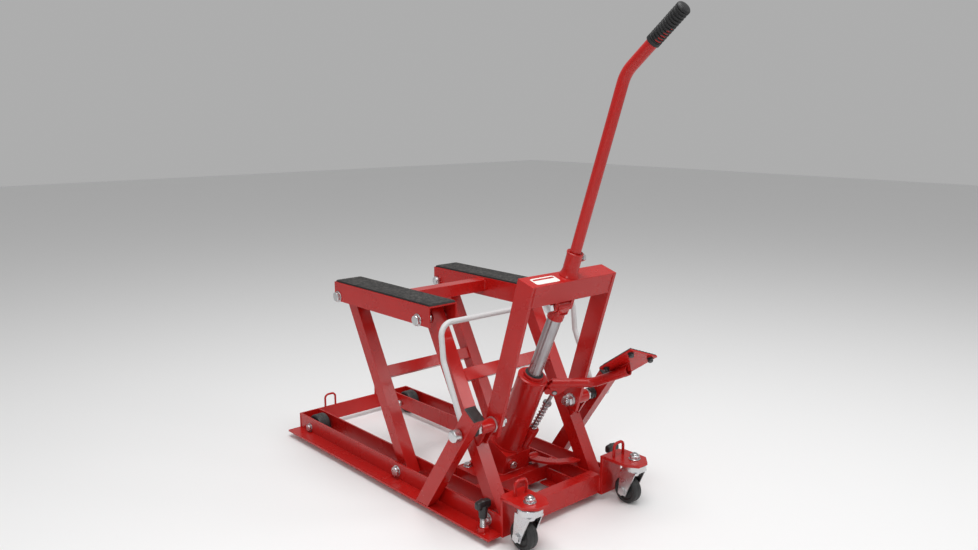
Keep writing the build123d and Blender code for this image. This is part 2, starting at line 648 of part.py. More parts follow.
bail_low = (-238.5, 208.0)
bail_points = [(-bail_x, *bail_low), (-bail_x, -186, 318), (-bail_x, -178, 388), (bail_x, -178, 388),
               (bail_x, -186, 318), (bail_x, *bail_low)]
bail = bent_tube(bail_points, bail_r, 25)
for s in (-1, 1):
    bail -= slanted((s * lock_bar_x, *low), (s * lock_bar_x, *high), lock_bar_width, lock_bar_depth)
save("bail", bail)
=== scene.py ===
import json
import math

import bmesh
import bpy
import numpy as np
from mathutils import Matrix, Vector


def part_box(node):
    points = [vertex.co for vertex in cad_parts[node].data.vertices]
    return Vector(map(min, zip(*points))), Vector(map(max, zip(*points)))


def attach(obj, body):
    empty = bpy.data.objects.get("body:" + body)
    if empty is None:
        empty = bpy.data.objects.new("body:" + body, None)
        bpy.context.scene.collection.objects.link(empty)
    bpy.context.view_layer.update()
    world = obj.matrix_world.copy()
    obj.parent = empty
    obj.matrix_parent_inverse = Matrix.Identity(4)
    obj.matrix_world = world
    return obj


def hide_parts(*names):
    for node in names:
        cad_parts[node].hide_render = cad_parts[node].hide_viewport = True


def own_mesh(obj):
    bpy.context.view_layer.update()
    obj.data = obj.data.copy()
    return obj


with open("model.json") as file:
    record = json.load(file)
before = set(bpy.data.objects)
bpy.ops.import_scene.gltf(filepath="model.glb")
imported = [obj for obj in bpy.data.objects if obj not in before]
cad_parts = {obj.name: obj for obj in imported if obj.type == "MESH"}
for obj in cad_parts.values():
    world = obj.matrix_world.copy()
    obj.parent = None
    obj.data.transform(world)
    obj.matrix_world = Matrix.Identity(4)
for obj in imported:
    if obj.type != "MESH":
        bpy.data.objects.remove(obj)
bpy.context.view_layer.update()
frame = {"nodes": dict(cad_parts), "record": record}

# Metres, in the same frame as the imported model. +Y runs towards the fixed wheels, +Z is up.
CENTRE_SHIFT = 0.08424          # from the rear arm pivot to the common centre
ROUND_STEPS = 48                # corners of a round section
X_AXIS = np.array([1.0, 0.0, 0.0])
Y_AXIS = np.array([0.0, 1.0, 0.0])
Z_AXIS = np.array([0.0, 0.0, 1.0])
SIDES = {"left": -1.0, "right": 1.0}


def from_pivot(x, y, z):
    """A point given in millimetres from the rear arm pivot, as metres in the common frame."""
    return np.array([x, y, z]) / 1000.0 + np.array([0.0, CENTRE_SHIFT, 0.0])


def middle(node):
    """Centre of a CAD node's box."""
    low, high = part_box(node)
    return (np.array(low) + np.array(high)) / 2


# ------------------------------------------------------------------ surfaces
def unit(vector):
    return np.asarray(vector, float) / np.linalg.norm(vector)


def square_axes(along):
    """Two directions square to a line and to each other."""
    along = unit(along)
    helper = Z_AXIS if abs(along[2]) < 0.9 else X_AXIS
    side = unit(np.cross(helper, along))
    return side, np.cross(along, side)


def skin(rings, closed_path=False):
    """Quads between successive rings of points, each ring closed on itself, with flat end faces."""
    count, corners = rings.shape[0], rings.shape[1]
    rows = count if closed_path else count - 1
    i = np.arange(rows)[:, None]
    j = np.arange(corners)[None, :]
    nxt = (i + 1) % count
    quads = np.stack([i * corners + j, i * corners + (j + 1) % corners,
                      nxt * corners + (j + 1) % corners, nxt * corners + j], axis=-1).reshape(-1, 4)
    faces = [tuple(q) for q in quads.tolist()]
    if not closed_path:
        faces.append(tuple(range(corners - 1, -1, -1)))
        faces.append(tuple(range((count - 1) * corners, count * corners)))
    return rings.reshape(-1, 3), faces


def lathe(start, along, profile, corners=ROUND_STEPS, hexagon_rows=()):
    """Turned shape: for each (distance, radius) of the profile, a circle about the line.

    Rows named in hexagon_rows take the hexagon's radius flat / cos(angle from the nearest flat),
    cut down to the circle of the chamfer given with them.
    """
    side, up = square_axes(along)
    angle = np.linspace(0, 2 * np.pi, corners, endpoint=False)
    profile = np.asarray(profile, float)
    radius = np.repeat(profile[:, 1:2], corners, axis=1)
    for row, flat in hexagon_rows:
        from_flat = (angle + np.pi / 6) % (np.pi / 3) - np.pi / 6
        radius[row] = np.minimum(radius[row], flat / np.cos(from_flat))
    circle = radius[..., None] * (np.cos(angle)[None, :, None] * side + np.sin(angle)[None, :, None] * up)
    rings = np.asarray(start) + profile[:, :1, None] * unit(along) + circle
    return skin(rings)


def hexagon_head(start, along, height, flat):
    """Chamfered hexagon: a hexagonal bar meeting a cone at both ends, starting at the seat."""
    corner = flat / math.cos(math.pi / 6)
    rows = [(0.0, flat * 0.97), (height * 0.12, corner), (height * 0.8, corner), (height, flat * 0.93)]
    return lathe(start, along, rows, 48, [(k, flat) for k in range(4)])


def thread(start, along, length, radius, pitch=0.00175):
    """Screw thread: radius falls and rises once per turn and per pitch along the rod."""
    corners = 36
    steps = max(int(length / pitch * 10), 12)
    side, up = square_axes(along)
    angle = np.linspace(0, 2 * np.pi, corners, endpoint=False)[None, :]
    rise = np.linspace(0, length, steps)[:, None]
    phase = (rise / pitch - angle / (2 * np.pi)) % 1.0
    ends = np.clip(np.minimum(rise, length - rise) / 0.0012, 0, 1)
    depth = np.abs(phase - 0.5) * 2 * 0.0009
    r = radius - depth - (1 - ends) * 0.0009
    rings = np.asarray(start) + rise[..., None] * unit(along)
    rings = rings + r[..., None] * (np.cos(angle)[..., None] * side + np.sin(angle)[..., None] * up)
    return skin(rings)


def smooth_path(points, steps):
    """Points at even steps along straight runs."""
    points = np.asarray(points, float)
    runs = np.linalg.norm(np.diff(points, axis=0), axis=1)
    travel = np.concatenate([[0], np.cumsum(runs)])
    at = np.linspace(0, travel[-1], steps)
    return np.stack([np.interp(at, travel, points[:, k]) for k in range(3)], axis=1)


def follow(path, section, closed_path=False):
    """A section carried along a path: each point's ring lies square to the path there.

    The section is (corners, 2), or (points, corners, 2) where it changes along the path.
    """
    path = np.asarray(path, float)
    along = np.gradient(path, axis=0)
    if closed_path:
        along = np.roll(path, -1, axis=0) - np.roll(path, 1, axis=0)
    along = along / np.linalg.norm(along, axis=1)[:, None]
    helper = np.where(np.abs(along[:, 2:3]) < 0.9, Z_AXIS[None, :], X_AXIS[None, :])
    side = np.cross(helper, along)
    side = side / np.linalg.norm(side, axis=1)[:, None]
    up = np.cross(along, side)
    section = np.asarray(section, float)
    if section.ndim == 2:
        section = np.repeat(section[None], len(path), axis=0)
    rings = path[:, None, :] + section[..., :1] * side[:, None, :] + section[..., 1:] * up[:, None, :]
    return skin(rings, closed_path)


def circle_section(radius, corners=12):
    angle = np.linspace(0, 2 * np.pi, corners, endpoint=False)
    return radius * np.stack([np.cos(angle), np.sin(angle)], axis=1)


def weld_bead(points, radius=0.0024):
    """Weld run: a round section along the seam whose radius swells once per ripple."""
    length = np.linalg.norm(np.diff(np.asarray(points), axis=0), axis=1).sum()
    path = smooth_path(points, max(int(length / 0.0008), 12))
    travel = np.linspace(0, length, len(path))
    swell = 0.86 + 0.14 * np.abs(np.sin(travel / 0.0034 * np.pi))
    wander = 1 + 0.06 * np.sin(travel * 700.0) + 0.05 * np.sin(travel * 1730.0 + 1.0)
    ends = np.clip(np.minimum(travel, length - travel) / 0.003, 0.25, 1)
    scale = (swell * wander * ends)[:, None, None]
    return follow(path, circle_section(radius, 10)[None] * scale)


def ribbed_slab(centre, long_axis, wide_axis, size, rib_pitch, rib_height, across=False):
    """Rubber pad: a slab with rounded outline whose top rises in round ribs.

    Both faces are grids over the rounded rectangle; the top is lifted by |sin| of the distance
    along the slab, faded out at the border, and the edge falls as a quarter ellipse.
    """
    length, width, height = size
    nu, nv = (420, 60) if not across else (140, 90)
    u = np.linspace(-1, 1, nu)[:, None]
    v = np.linspace(-1, 1, nv)[None, :]
    x = np.broadcast_to(u * length / 2, (nu, nv))
    y = np.broadcast_to(v * width / 2, (nu, nv))
    edge = np.minimum(length / 2 - np.abs(x), width / 2 - np.abs(y))
    border = np.clip(edge / 0.0015, 0, 1)
    rounding = np.sqrt(np.clip(1 - (1 - border) ** 2, 0, 1))
    lane = y if across else x
    rib = np.abs(np.sin(np.pi * lane / rib_pitch)) ** 0.6
    inside = np.clip((edge - 0.003) / 0.002, 0, 1)
    top = (height - rib_height) * (0.15 + 0.85 * rounding) + rib_height * rib * inside
    normal = np.cross(long_axis, wide_axis)
    base = np.asarray(centre) + x[..., None] * long_axis + y[..., None] * wide_axis
    upper = base + top[..., None] * normal
    index = np.arange(nu * nv).reshape(nu, nv)
    corners = [index[:-1, :-1], index[1:, :-1], index[1:, 1:], index[:-1, 1:]]
    quads = np.stack(corners, axis=-1).reshape(-1, 4)
    lower_quads = quads[:, ::-1] + nu * nv
    rim = np.concatenate([index[0, :-1], index[:-1, -1], index[-1, :0:-1], index[:0:-1, 0]])
    nxt = np.roll(rim, -1)
    walls = np.stack([rim, nxt, nxt + nu * nv, rim + nu * nv], axis=-1)
    faces = [tuple(f) for f in np.concatenate([quads, lower_quads, walls]).tolist()]
    return np.concatenate([upper.reshape(-1, 3), base.reshape(-1, 3)]), faces


def rounded_bar(centre, size, power=5.0, waist=0.0):
    """Moulded bar: super-ellipsoid |x/a|^n + |y/b|^n + |z/c|^n = 1, narrowed at the middle by waist."""
    a, b, c = np.asarray(size) / 2
    lat = np.linspace(-np.pi / 2, np.pi / 2, 33)[1:-1][:, None]
    lon = np.linspace(0, 2 * np.pi, 64, endpoint=False)[None, :]

    def bent(value):
        return np.sign(value) * np.abs(value) ** (2.0 / power)
    y = b * bent(np.cos(lat)) * bent(np.cos(lon))
    z = c * bent(np.cos(lat)) * bent(np.sin(lon))
    x = np.broadcast_to(a * bent(np.sin(lat)), y.shape)
    y = y * (1 - waist * (1 - (x / a) ** 2))
    rings = np.stack([x, y, z], axis=-1) + np.asarray(centre)
    return skin(rings)


# ------------------------------------------------------------------ making and fitting pieces
def join(*parts):
    """Several (points, faces) as one."""
    points, faces, offset = [], [], 0
    for p, f in parts:
        points.append(np.asarray(p))
        faces.extend(tuple(k + offset for k in face) for face in f)
        offset += len(p)
    return np.concatenate(points), faces


def make(name, shape, material, body, replaces=(), smooth=30.0):
    """Mesh object from (points, faces), facing outwards, riding on a body and painted."""
    points, faces = shape
    mesh = bpy.data.meshes.new(name)
    mesh.from_pydata(np.asarray(points).tolist(), [], faces)
    work = bmesh.new()
    work.from_mesh(mesh)
    bmesh.ops.recalc_face_normals(work, faces=work.faces)
    work.to_mesh(mesh)
    work.free()
    return finish_piece(name, mesh, material, body, replaces, smooth)


def finish_piece(name, mesh, material, body, replaces, smooth):
    mesh.shade_smooth()
    mesh.set_sharp_from_angle(angle=math.radians(smooth))
    mesh.materials.clear()
    mesh.materials.append(material)
    piece = bpy.data.objects.new(name, mesh)
    bpy.context.scene.collection.objects.link(piece)
    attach(piece, body)
    if replaces:
        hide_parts(*replaces)
    return piece


def softened(node, material, body, width=0.0007):
    """A pressed or sawn CAD piece with its edges broken: merged copy, flat faces joined, edges bevelled."""
    mesh = frame["nodes"][node].data.copy()
    work = bmesh.new()
    work.from_mesh(mesh)
    bmesh.ops.remove_doubles(work, verts=work.verts, dist=1e-6)
    bmesh.ops.dissolve_limit(work, angle_limit=math.radians(1.0), verts=work.verts, edges=work.edges)
    work.to_mesh(mesh)
    work.free()
    piece = finish_piece(f"{node}_edged", mesh, material, body, (node,), 32.0)
    bevel = piece.modifiers.new("broken edges", "BEVEL")
    bevel.width = width
    bevel.segments = 2
    bevel.limit_method = "ANGLE"
    bevel.angle_limit = math.radians(40.0)
    bevel.harden_normals = True
    return piece


# ------------------------------------------------------------------ material node groups
def new_group(name, inputs, outputs):
    """Empty shader node group with named sockets."""
    tree = bpy.data.node_groups.new(name, "ShaderNodeTree")
    for socket, kind, value in inputs:
        made = tree.interface.new_socket(socket, in_out="INPUT", socket_type=kind)
        made.default_value = value
    for socket, kind in outputs:
        tree.interface.new_socket(socket, in_out="OUTPUT", socket_type=kind)
    return tree, tree.nodes.new("NodeGroupInput"), tree.nodes.new("NodeGroupOutput")


def add(tree, kind, **values):
    node = tree.nodes.new(kind)
    for key, value in values.items():
        setattr(node, key, value)
    return node


def ramp(tree, low, high):
    """Map Range from low..high to 0..1, held at the ends."""
    node = add(tree, "ShaderNodeMapRange", clamp=True)
    node.inputs["From Min"].default_value = low
    node.inputs["From Max"].default_value = high
    return node


def noise(tree, scale, detail=4.0, rough=0.55):
    node = add(tree, "ShaderNodeTexNoise")
    node.inputs["Scale"].default_value = scale
    node.inputs["Detail"].default_value = detail
    node.inputs["Roughness"].default_value = rough
    return node


def wear_group():
    """Edge wear: how far the rounded normal leaves the face's own, broken up by fine noise."""
    tree, given, result = new_group(
        "edge wear",
        [("Colour", "NodeSocketColor", (1, 1, 1, 1)), ("Worn Colour", "NodeSocketColor", (1, 1, 1, 1)),
         ("Amount", "NodeSocketFloat", 0.5), ("Radius", "NodeSocketFloat", 0.001)],
        [("Colour", "NodeSocketColor"), ("Mask", "NodeSocketFloat")])
    place = add(tree, "ShaderNodeTexCoord")
    rounded = add(tree, "ShaderNodeBevel", samples=4)
    tree.links.new(given.outputs["Radius"], rounded.inputs["Radius"])
    face = add(tree, "ShaderNodeNewGeometry")
    dot = add(tree, "ShaderNodeVectorMath", operation="DOT_PRODUCT")
    tree.links.new(rounded.outputs[0], dot.inputs[0])
    tree.links.new(face.outputs["Normal"], dot.inputs[1])
    edge = ramp(tree, 0.995, 0.90)
    tree.links.new(dot.outputs["Value"], edge.inputs["Value"])
    grains = noise(tree, 420.0, 5.0, 0.65)
    tree.links.new(place.outputs["Object"], grains.inputs["Vector"])
    patches = noise(tree, 21.0, 3.0, 0.5)
    tree.links.new(place.outputs["Object"], patches.inputs["Vector"])
    fine = ramp(tree, 0.46, 0.62)
    tree.links.new(grains.outputs[0], fine.inputs["Value"])
    broad = ramp(tree, 0.45, 0.66)
    tree.links.new(patches.outputs[0], broad.inputs["Value"])
    both = add(tree, "ShaderNodeMath", operation="MULTIPLY")
    tree.links.new(fine.outputs[0], both.inputs[0])
    tree.links.new(broad.outputs[0], both.inputs[1])
    on_edge = add(tree, "ShaderNodeMath", operation="MULTIPLY")
    tree.links.new(both.outputs[0], on_edge.inputs[0])
    tree.links.new(edge.outputs[0], on_edge.inputs[1])
    mask = add(tree, "ShaderNodeMath", operation="MULTIPLY")
    tree.links.new(on_edge.outputs[0], mask.inputs[0])
    tree.links.new(given.outputs["Amount"], mask.inputs[1])
    mix = add(tree, "ShaderNodeMix", data_type="RGBA")
    tree.links.new(mask.outputs[0], mix.inputs["Factor"])
    tree.links.new(given.outputs["Colour"], mix.inputs["A"])
    tree.links.new(given.outputs["Worn Colour"], mix.inputs["B"])
    tree.links.new(mix.outputs["Result"], result.inputs["Colour"])
    tree.links.new(mask.outputs[0], result.inputs["Mask"])
    return tree


def tone_group():
    """Slow colour variation: mixes towards a second tone by cloudy noise, plus dust where faces look up."""
    tree, given, result = new_group(
        "tone and dust",
        [("Colour", "NodeSocketColor", (1, 1, 1, 1)), ("Second Colour", "NodeSocketColor", (1, 1, 1, 1)),
         ("Dust Colour", "NodeSocketColor", (0.5, 0.47, 0.43, 1)), ("Cloud Scale", "NodeSocketFloat", 12.0),
         ("Variation", "NodeSocketFloat", 0.5), ("Dust", "NodeSocketFloat", 0.05)],
        [("Colour", "NodeSocketColor"), ("Dust Mask", "NodeSocketFloat"), ("Cloud", "NodeSocketFloat")])
    place = add(tree, "ShaderNodeTexCoord")
    cloud = noise(tree, 12.0, 5.0, 0.6)
    tree.links.new(place.outputs["Object"], cloud.inputs["Vector"])
    tree.links.new(given.outputs["Cloud Scale"], cloud.inputs["Scale"])
    spread = ramp(tree, 0.35, 0.7)
    tree.links.new(cloud.outputs[0], spread.inputs["Value"])
    amount = add(tree, "ShaderNodeMath", operation="MULTIPLY")
    tree.links.new(spread.outputs[0], amount.inputs[0])
    tree.links.new(given.outputs["Variation"], amount.inputs[1])
    mix = add(tree, "ShaderNodeMix", data_type="RGBA")
    tree.links.new(amount.outputs[0], mix.inputs["Factor"])
    tree.links.new(given.outputs["Colour"], mix.inputs["A"])
    tree.links.new(given.outputs["Second Colour"], mix.inputs["B"])
    face = add(tree, "ShaderNodeNewGeometry")
    parts = add(tree, "ShaderNodeSeparateXYZ")
    tree.links.new(face.outputs["Normal"], parts.inputs[0])
    upward = ramp(tree, 0.55, 1.0)
    tree.links.new(parts.outputs["Z"], upward.inputs["Value"])
    specks = noise(tree, 160.0, 6.0, 0.7)
    tree.links.new(place.outputs["Object"], specks.inputs["Vector"])
    settle = ramp(tree, 0.42, 0.75)
    tree.links.new(specks.outputs[0], settle.inputs["Value"])
    lying = add(tree, "ShaderNodeMath", operation="MULTIPLY")
    tree.links.new(upward.outputs[0], lying.inputs[0])
    tree.links.new(settle.outputs[0], lying.inputs[1])
    dust = add(tree, "ShaderNodeMath", operation="MULTIPLY")
    tree.links.new(lying.outputs[0], dust.inputs[0])
    tree.links.new(given.outputs["Dust"], dust.inputs[1])
    dusty = add(tree, "ShaderNodeMix", data_type="RGBA")
    tree.links.new(dust.outputs[0], dusty.inputs["Factor"])
    tree.links.new(mix.outputs["Result"], dusty.inputs["A"])
    tree.links.new(given.outputs["Dust Colour"], dusty.inputs["B"])
    tree.links.new(dusty.outputs["Result"], result.inputs["Colour"])
    tree.links.new(dust.outputs[0], result.inputs["Dust Mask"])
    tree.links.new(cloud.outputs[0], result.inputs["Cloud"])
    return tree


def relief_group():
    """Surface relief: a coarse and a fine noise added as height, turned into a bumped normal."""
    tree, given, result = new_group(
        "relief",
        [("Coarse Scale", "NodeSocketFloat", 90.0), ("Fine Scale", "NodeSocketFloat", 900.0),
         ("Fine Share", "NodeSocketFloat", 0.4), ("Strength", "NodeSocketFloat", 0.1),
         ("Stretch", "NodeSocketVector", (1.0, 1.0, 1.0))],
        [("Normal", "NodeSocketVector"), ("Height", "NodeSocketFloat")])
    place = add(tree, "ShaderNodeTexCoord")
    stretch = add(tree, "ShaderNodeVectorMath", operation="MULTIPLY")
    tree.links.new(place.outputs["Object"], stretch.inputs[0])
    tree.links.new(given.outputs["Stretch"], stretch.inputs[1])
    coarse = noise(tree, 90.0, 3.0, 0.5)
    fine = noise(tree, 900.0, 2.0, 0.5)
    for texture, socket in ((coarse, "Coarse Scale"), (fine, "Fine Scale")):
        tree.links.new(stretch.outputs[0], texture.inputs["Vector"])
        tree.links.new(given.outputs[socket], texture.inputs["Scale"])
    share = add(tree, "ShaderNodeMath", operation="MULTIPLY")
    tree.links.new(fine.outputs[0], share.inputs[0])
    tree.links.new(given.outputs["Fine Share"], share.inputs[1])
    height = add(tree, "ShaderNodeMath", operation="ADD")
    tree.links.new(coarse.outputs[0], height.inputs[0])
    tree.links.new(share.outputs[0], height.inputs[1])
    bump = add(tree, "ShaderNodeBump")
    bump.inputs["Distance"].default_value = 0.0004
    tree.links.new(given.outputs["Strength"], bump.inputs["Strength"])
    tree.links.new(height.outputs[0], bump.inputs["Height"])
    tree.links.new(bump.outputs[0], result.inputs["Normal"])
    tree.links.new(height.outputs[0], result.inputs["Height"])
    return tree


WEAR = wear_group()
TONE = tone_group()
RELIEF = relief_group()


def finish_material(name, colour, second, worn, metallic=0.0, gloss=(0.25, 0.4), coat=0.0,
                    wear=0.5, dust=0.05, cloud=12.0, variation=0.5,
                    relief=(90.0, 900.0, 0.4, 0.1), stretch=(1, 1, 1), specular=0.5):
    """Tone and dust, then edge wear, over a Principled shader; roughness follows the clouds and wear."""
    material = bpy.data.materials.new(name)
    material.use_nodes = True
    tree = material.node_tree
    shader = tree.nodes["Principled BSDF"]
    tone = add(tree, "ShaderNodeGroup", node_tree=TONE)
    tone.inputs["Colour"].default_value = (*colour, 1)
    tone.inputs["Second Colour"].default_value = (*second, 1)
    tone.inputs["Cloud Scale"].default_value = cloud
    tone.inputs["Variation"].default_value = variation
    tone.inputs["Dust"].default_value = dust
    edge = add(tree, "ShaderNodeGroup", node_tree=WEAR)
    edge.inputs["Worn Colour"].default_value = (*worn, 1)
    edge.inputs["Amount"].default_value = wear
    tree.links.new(tone.outputs["Colour"], edge.inputs["Colour"])
    tree.links.new(edge.outputs["Colour"], shader.inputs["Base Color"])
    rough = ramp(tree, 0.3, 0.7)
    rough.inputs["To Min"].default_value = gloss[0]
    rough.inputs["To Max"].default_value = gloss[1]
    tree.links.new(tone.outputs["Cloud"], rough.inputs["Value"])
    dulled = add(tree, "ShaderNodeMath", operation="MULTIPLY_ADD", use_clamp=True)
    dulled.inputs[1].default_value = 0.3
    tree.links.new(edge.outputs["Mask"], dulled.inputs[0])
    tree.links.new(rough.outputs[0], dulled.inputs[2])
    tree.links.new(dulled.outputs[0], shader.inputs["Roughness"])
    shape = add(tree, "ShaderNodeGroup", node_tree=RELIEF)
    for socket, value in zip(("Coarse Scale", "Fine Scale", "Fine Share", "Strength"), relief):
        shape.inputs[socket].default_value = value
    shape.inputs["Stretch"].default_value = stretch
    tree.links.new(shape.outputs["Normal"], shader.inputs["Normal"])
    shader.inputs["Metallic"].default_value = metallic
    shader.inputs["Coat Weight"].default_value = coat
    shader.inputs["Coat Roughness"].default_value = 0.08
    shader.inputs["Specular IOR Level"].default_value = specular
    return material


enamel = finish_material("red enamel", (0.47, 0.008, 0.006), (0.35, 0.005, 0.004), (0.13, 0.02, 0.02),
                         gloss=(0.20, 0.32), coat=0.15, wear=0.25, dust=0.02, cloud=9.0, variation=0.45,
                         relief=(55.0, 420.0, 0.25, 0.10), specular=0.34)
zinc = finish_material("zinc plate", (0.60, 0.60, 0.62), (0.70, 0.68, 0.62), (0.42, 0.40, 0.37),
                       metallic=1.0,
                       gloss=(0.22, 0.36), wear=0.15, dust=0.02, cloud=60.0, variation=0.3,
                       relief=(220.0, 1500.0, 0.6, 0.08))
chrome = finish_material("polished chrome", (0.78, 0.78, 0.80), (0.72, 0.72, 0.75), (0.5, 0.49, 0.47),
                         metallic=1.0,
                         gloss=(0.07, 0.16), wear=0.3, dust=0.02, cloud=40.0, variation=0.4,
                         relief=(130.0, 900.0, 0.3, 0.03))
ground_steel = finish_material("ground steel", (0.42, 0.41, 0.42), (0.34, 0.33, 0.34), (0.6, 0.6, 0.6),
                               metallic=1.0,
                               gloss=(0.22, 0.36), wear=0.3, dust=0.02, cloud=30.0, variation=0.6,
                               relief=(300.0, 1500.0, 0.6, 0.12), stretch=(1, 1, 6))
grey_paint = finish_material("light grey powder coat", (0.60, 0.60, 0.60), (0.54, 0.54, 0.55),
                             (0.3, 0.3, 0.3),
                             gloss=(0.38, 0.5), wear=0.4, dust=0.04, cloud=20.0, variation=0.5,
                             relief=(350.0, 1200.0, 0.5, 0.18))
pad_rubber = finish_material("pad rubber", (0.017, 0.017, 0.018), (0.028, 0.027, 0.026), (0.06, 0.06, 0.06),
                             gloss=(0.68, 0.85), wear=0.4, dust=0.22, cloud=35.0, variation=0.7,
                             relief=(500.0, 2200.0, 0.8, 0.5), specular=0.35)
grip_rubber = finish_material("grip rubber", (0.014, 0.014, 0.015), (0.022, 0.022, 0.022),
                              (0.05, 0.05, 0.05),
                              gloss=(0.45, 0.6), wear=0.3, dust=0.08, cloud=40.0, variation=0.6,
                              relief=(420.0, 1800.0, 0.6, 0.25), specular=0.4)
wheel_plastic = finish_material("wheel plastic", (0.018, 0.018, 0.019), (0.035, 0.034, 0.033),
                                (0.16, 0.155, 0.15),
                                gloss=(0.38, 0.58), wear=0.6, dust=0.18, cloud=50.0, variation=0.7,
                                relief=(260.0, 1400.0, 0.6, 0.22), specular=0.45)
black_plastic = finish_material("black moulded plastic", (0.012, 0.012, 0.013), (0.02, 0.02, 0.02),
                                (0.08, 0.08, 0.08),
                                gloss=(0.26, 0.42), wear=0.3, dust=0.08, cloud=40.0, variation=0.5,
                                relief=(320.0, 1500.0, 0.5, 0.14))
SLOT_MATERIAL = {"red": enamel, "zinc": zinc, "chrome": chrome, "steel": ground_steel, "grey": grey_paint,
                 "rubber": pad_rubber, "wheel": wheel_plastic, "plastic": black_plastic}

# ------------------------------------------------------------------ CAD nodes: finish, and broken edges
record = frame["record"]
slot_of = {part["node"]: part["material_slot"] for part in record["subparts"]}
body_of = {node: body for body, nodes in record["behaviour"]["bodies"].items() for node in nodes}
ROUND_NODES = {"handle", "bail", "ram_rod", "tie_down_loops", "pump_plunger"}
REMADE = {"frame_bolts", "saddle_bolts", "lock_pins", "caster_kingpins", "return_spring", "handle_grip",
          "tread_pad"}
REMADE |= {f"{piece}_{name}" for name in SIDES
           for piece in ("saddle_pad", "rear_wheel", "caster_wheel", "floor_lock_knob", "floor_lock_screw")}
for node, item in frame["nodes"].items():
    material = SLOT_MATERIAL[slot_of[node]]
    item.data.materials.clear()
    item.data.materials.append(material)
    if node in ROUND_NODES:
        item.data.shade_smooth()
        item.data.set_sharp_from_angle(angle=math.radians(30.0))
    elif node not in REMADE:
        softened(node, material, body_of[node])


# ------------------------------------------------------------------ bolts, nuts and pins
def across(side, near, y, z):
    """A point on one side of the jack, as distance from the middle plane and a place along and up."""
    return from_pivot(side * near, y, z)


def washer(start, along, thickness, radius):
    """Flat washer with rounded rims."""
    return lathe(start, along, [(0, radius - 0.0004), (0.0004, radius), (thickness - 0.0004, radius),
                                (thickness, radius - 0.0004)])


def through_bolt(side, y, z, head, nut, tip, shank, flat, washer_radius):
    """Hexagon bolt from a head outside to a nut inside: distances from the middle plane, in millimetres."""
    outward = side * X_AXIS
    parts = [
        hexagon_head(across(side, head, y, z), outward, 0.0065, flat),
        lathe(across(side, nut, y, z), outward, [(0, shank), ((head - nut) / 1000 + 0.002, shank)]),
        hexagon_head(across(side, nut, y, z), -outward, 0.0085, flat),
        thread(across(side, tip, y, z), outward, (nut - tip) / 1000, shank),
    ]
    return join(*parts, washer(across(side, head - 1.0, y, z), outward, 0.0014, washer_radius))


PIVOTS = ((-288.4, 33.0), (0.0, 33.0))
REAR_AXLE = (359.0, 27.5)
bolts = []
for side in SIDES.values():
    for y, z in PIVOTS:
        bolts.append(through_bolt(side, y, z, 162.0, 106.8, 95.5, 0.007, 0.0100, 0.0125))
        bolts.append(lathe(across(side, 144.5, y, z), side * X_AXIS, [(0, 0.0105), (0.0004, 0.011),
                                                                     (0.0116, 0.011), (0.012, 0.0105)]))
    bolts.append(through_bolt(side, *REAR_AXLE, 162.0, 106.8, 97.5, 0.005, 0.0080, 0.0100))
make("frame_bolts_cut", join(*bolts), zinc, "frame", ["frame_bolts"])

SADDLE_PIVOTS = ((-96.6, 379.7), (191.8, 379.7))
bolts = []
for side in SIDES.values():
    for y, z in SADDLE_PIVOTS:
        bolts.append(through_bolt(side, y, z, 173.5, 103.8, 94.5, 0.007, 0.0100, 0.0125))
        bolts.append(lathe(across(side, 144.5, y, z), side * X_AXIS, [(0, 0.0105), (0.0004, 0.011),
                                                                     (0.0241, 0.011), (0.0245, 0.0105)]))
make("saddle_bolts_cut", join(*bolts), zinc, "platform", ["saddle_bolts"])

LOCK_PIN = (-249.0, 194.5)
pins, rings = [], []
for side in SIDES.values():
    outward = side * X_AXIS
    pins.append(lathe(across(side, 112.8, *LOCK_PIN), outward, [
        (0, 0.0068), (0.0002, 0.007), (0.0865, 0.007)]))
    pins.append(lathe(across(side, 112.9, *LOCK_PIN), outward, [
        (0, 0.015), (0.0004, 0.0155), (0.0028, 0.0155), (0.0032, 0.015)]))
    pins.append(hexagon_head(across(side, 147.3, *LOCK_PIN), outward, 0.008, 0.0105))
    pins.append(lathe(across(side, 197.0, *LOCK_PIN), outward, [
        (0, 0.0112), (0.0006, 0.012), (0.0135, 0.012), (0.0152, 0.0108), (0.0160, 0.0088), (0.0160, 0.005)]))
    rings.append(lathe(across(side, 155.5, *LOCK_PIN), outward, [
        (0, 0.0108), (0.001, 0.0124), (0.005, 0.0125), (0.006, 0.0112), (0.009, 0.0112),
        (0.010, 0.0124), (0.0140, 0.0125), (0.0145, 0.0108)]))
make("lock_pins_turned", join(*pins), zinc, "front_arms", ["lock_pins"])
make("lock_pin_rings", join(*rings), black_plastic, "front_arms")

CASTER = (145.6, -385.5)
kingpins = []
for side in SIDES.values():
    top = across(side, *[CASTER[0], CASTER[1], 95.4])
    kingpins.append(washer(top, Z_AXIS, 0.002, 0.012))
    kingpins.append(hexagon_head(top + 0.002 * Z_AXIS, Z_AXIS, 0.0075, 0.009))
    kingpins.append(thread(top + 0.009 * Z_AXIS, Z_AXIS, 0.0036, 0.006))
    kingpins.append(lathe(top - 0.0334 * Z_AXIS, Z_AXIS, [(0, 0.009), (0.001, 0.010), (0.007, 0.010),
                                                          (0.008, 0.006), (0.034, 0.006)]))
make("caster_kingpins_turned", join(*kingpins), zinc, "frame", ["caster_kingpins"])

# Ball races under each caster plate.
for name, side in SIDES.items():
    race = across(side, CASTER[0], CASTER[1], 86.4)
    make(f"caster_race_{name}", lathe(race, Z_AXIS, [
        (0, 0.0234), (0.0004, 0.0238), (0.0012, 0.0234), (0.0020, 0.0216), (0.0023, 0.0202)]),
        zinc, f"caster_{name}")

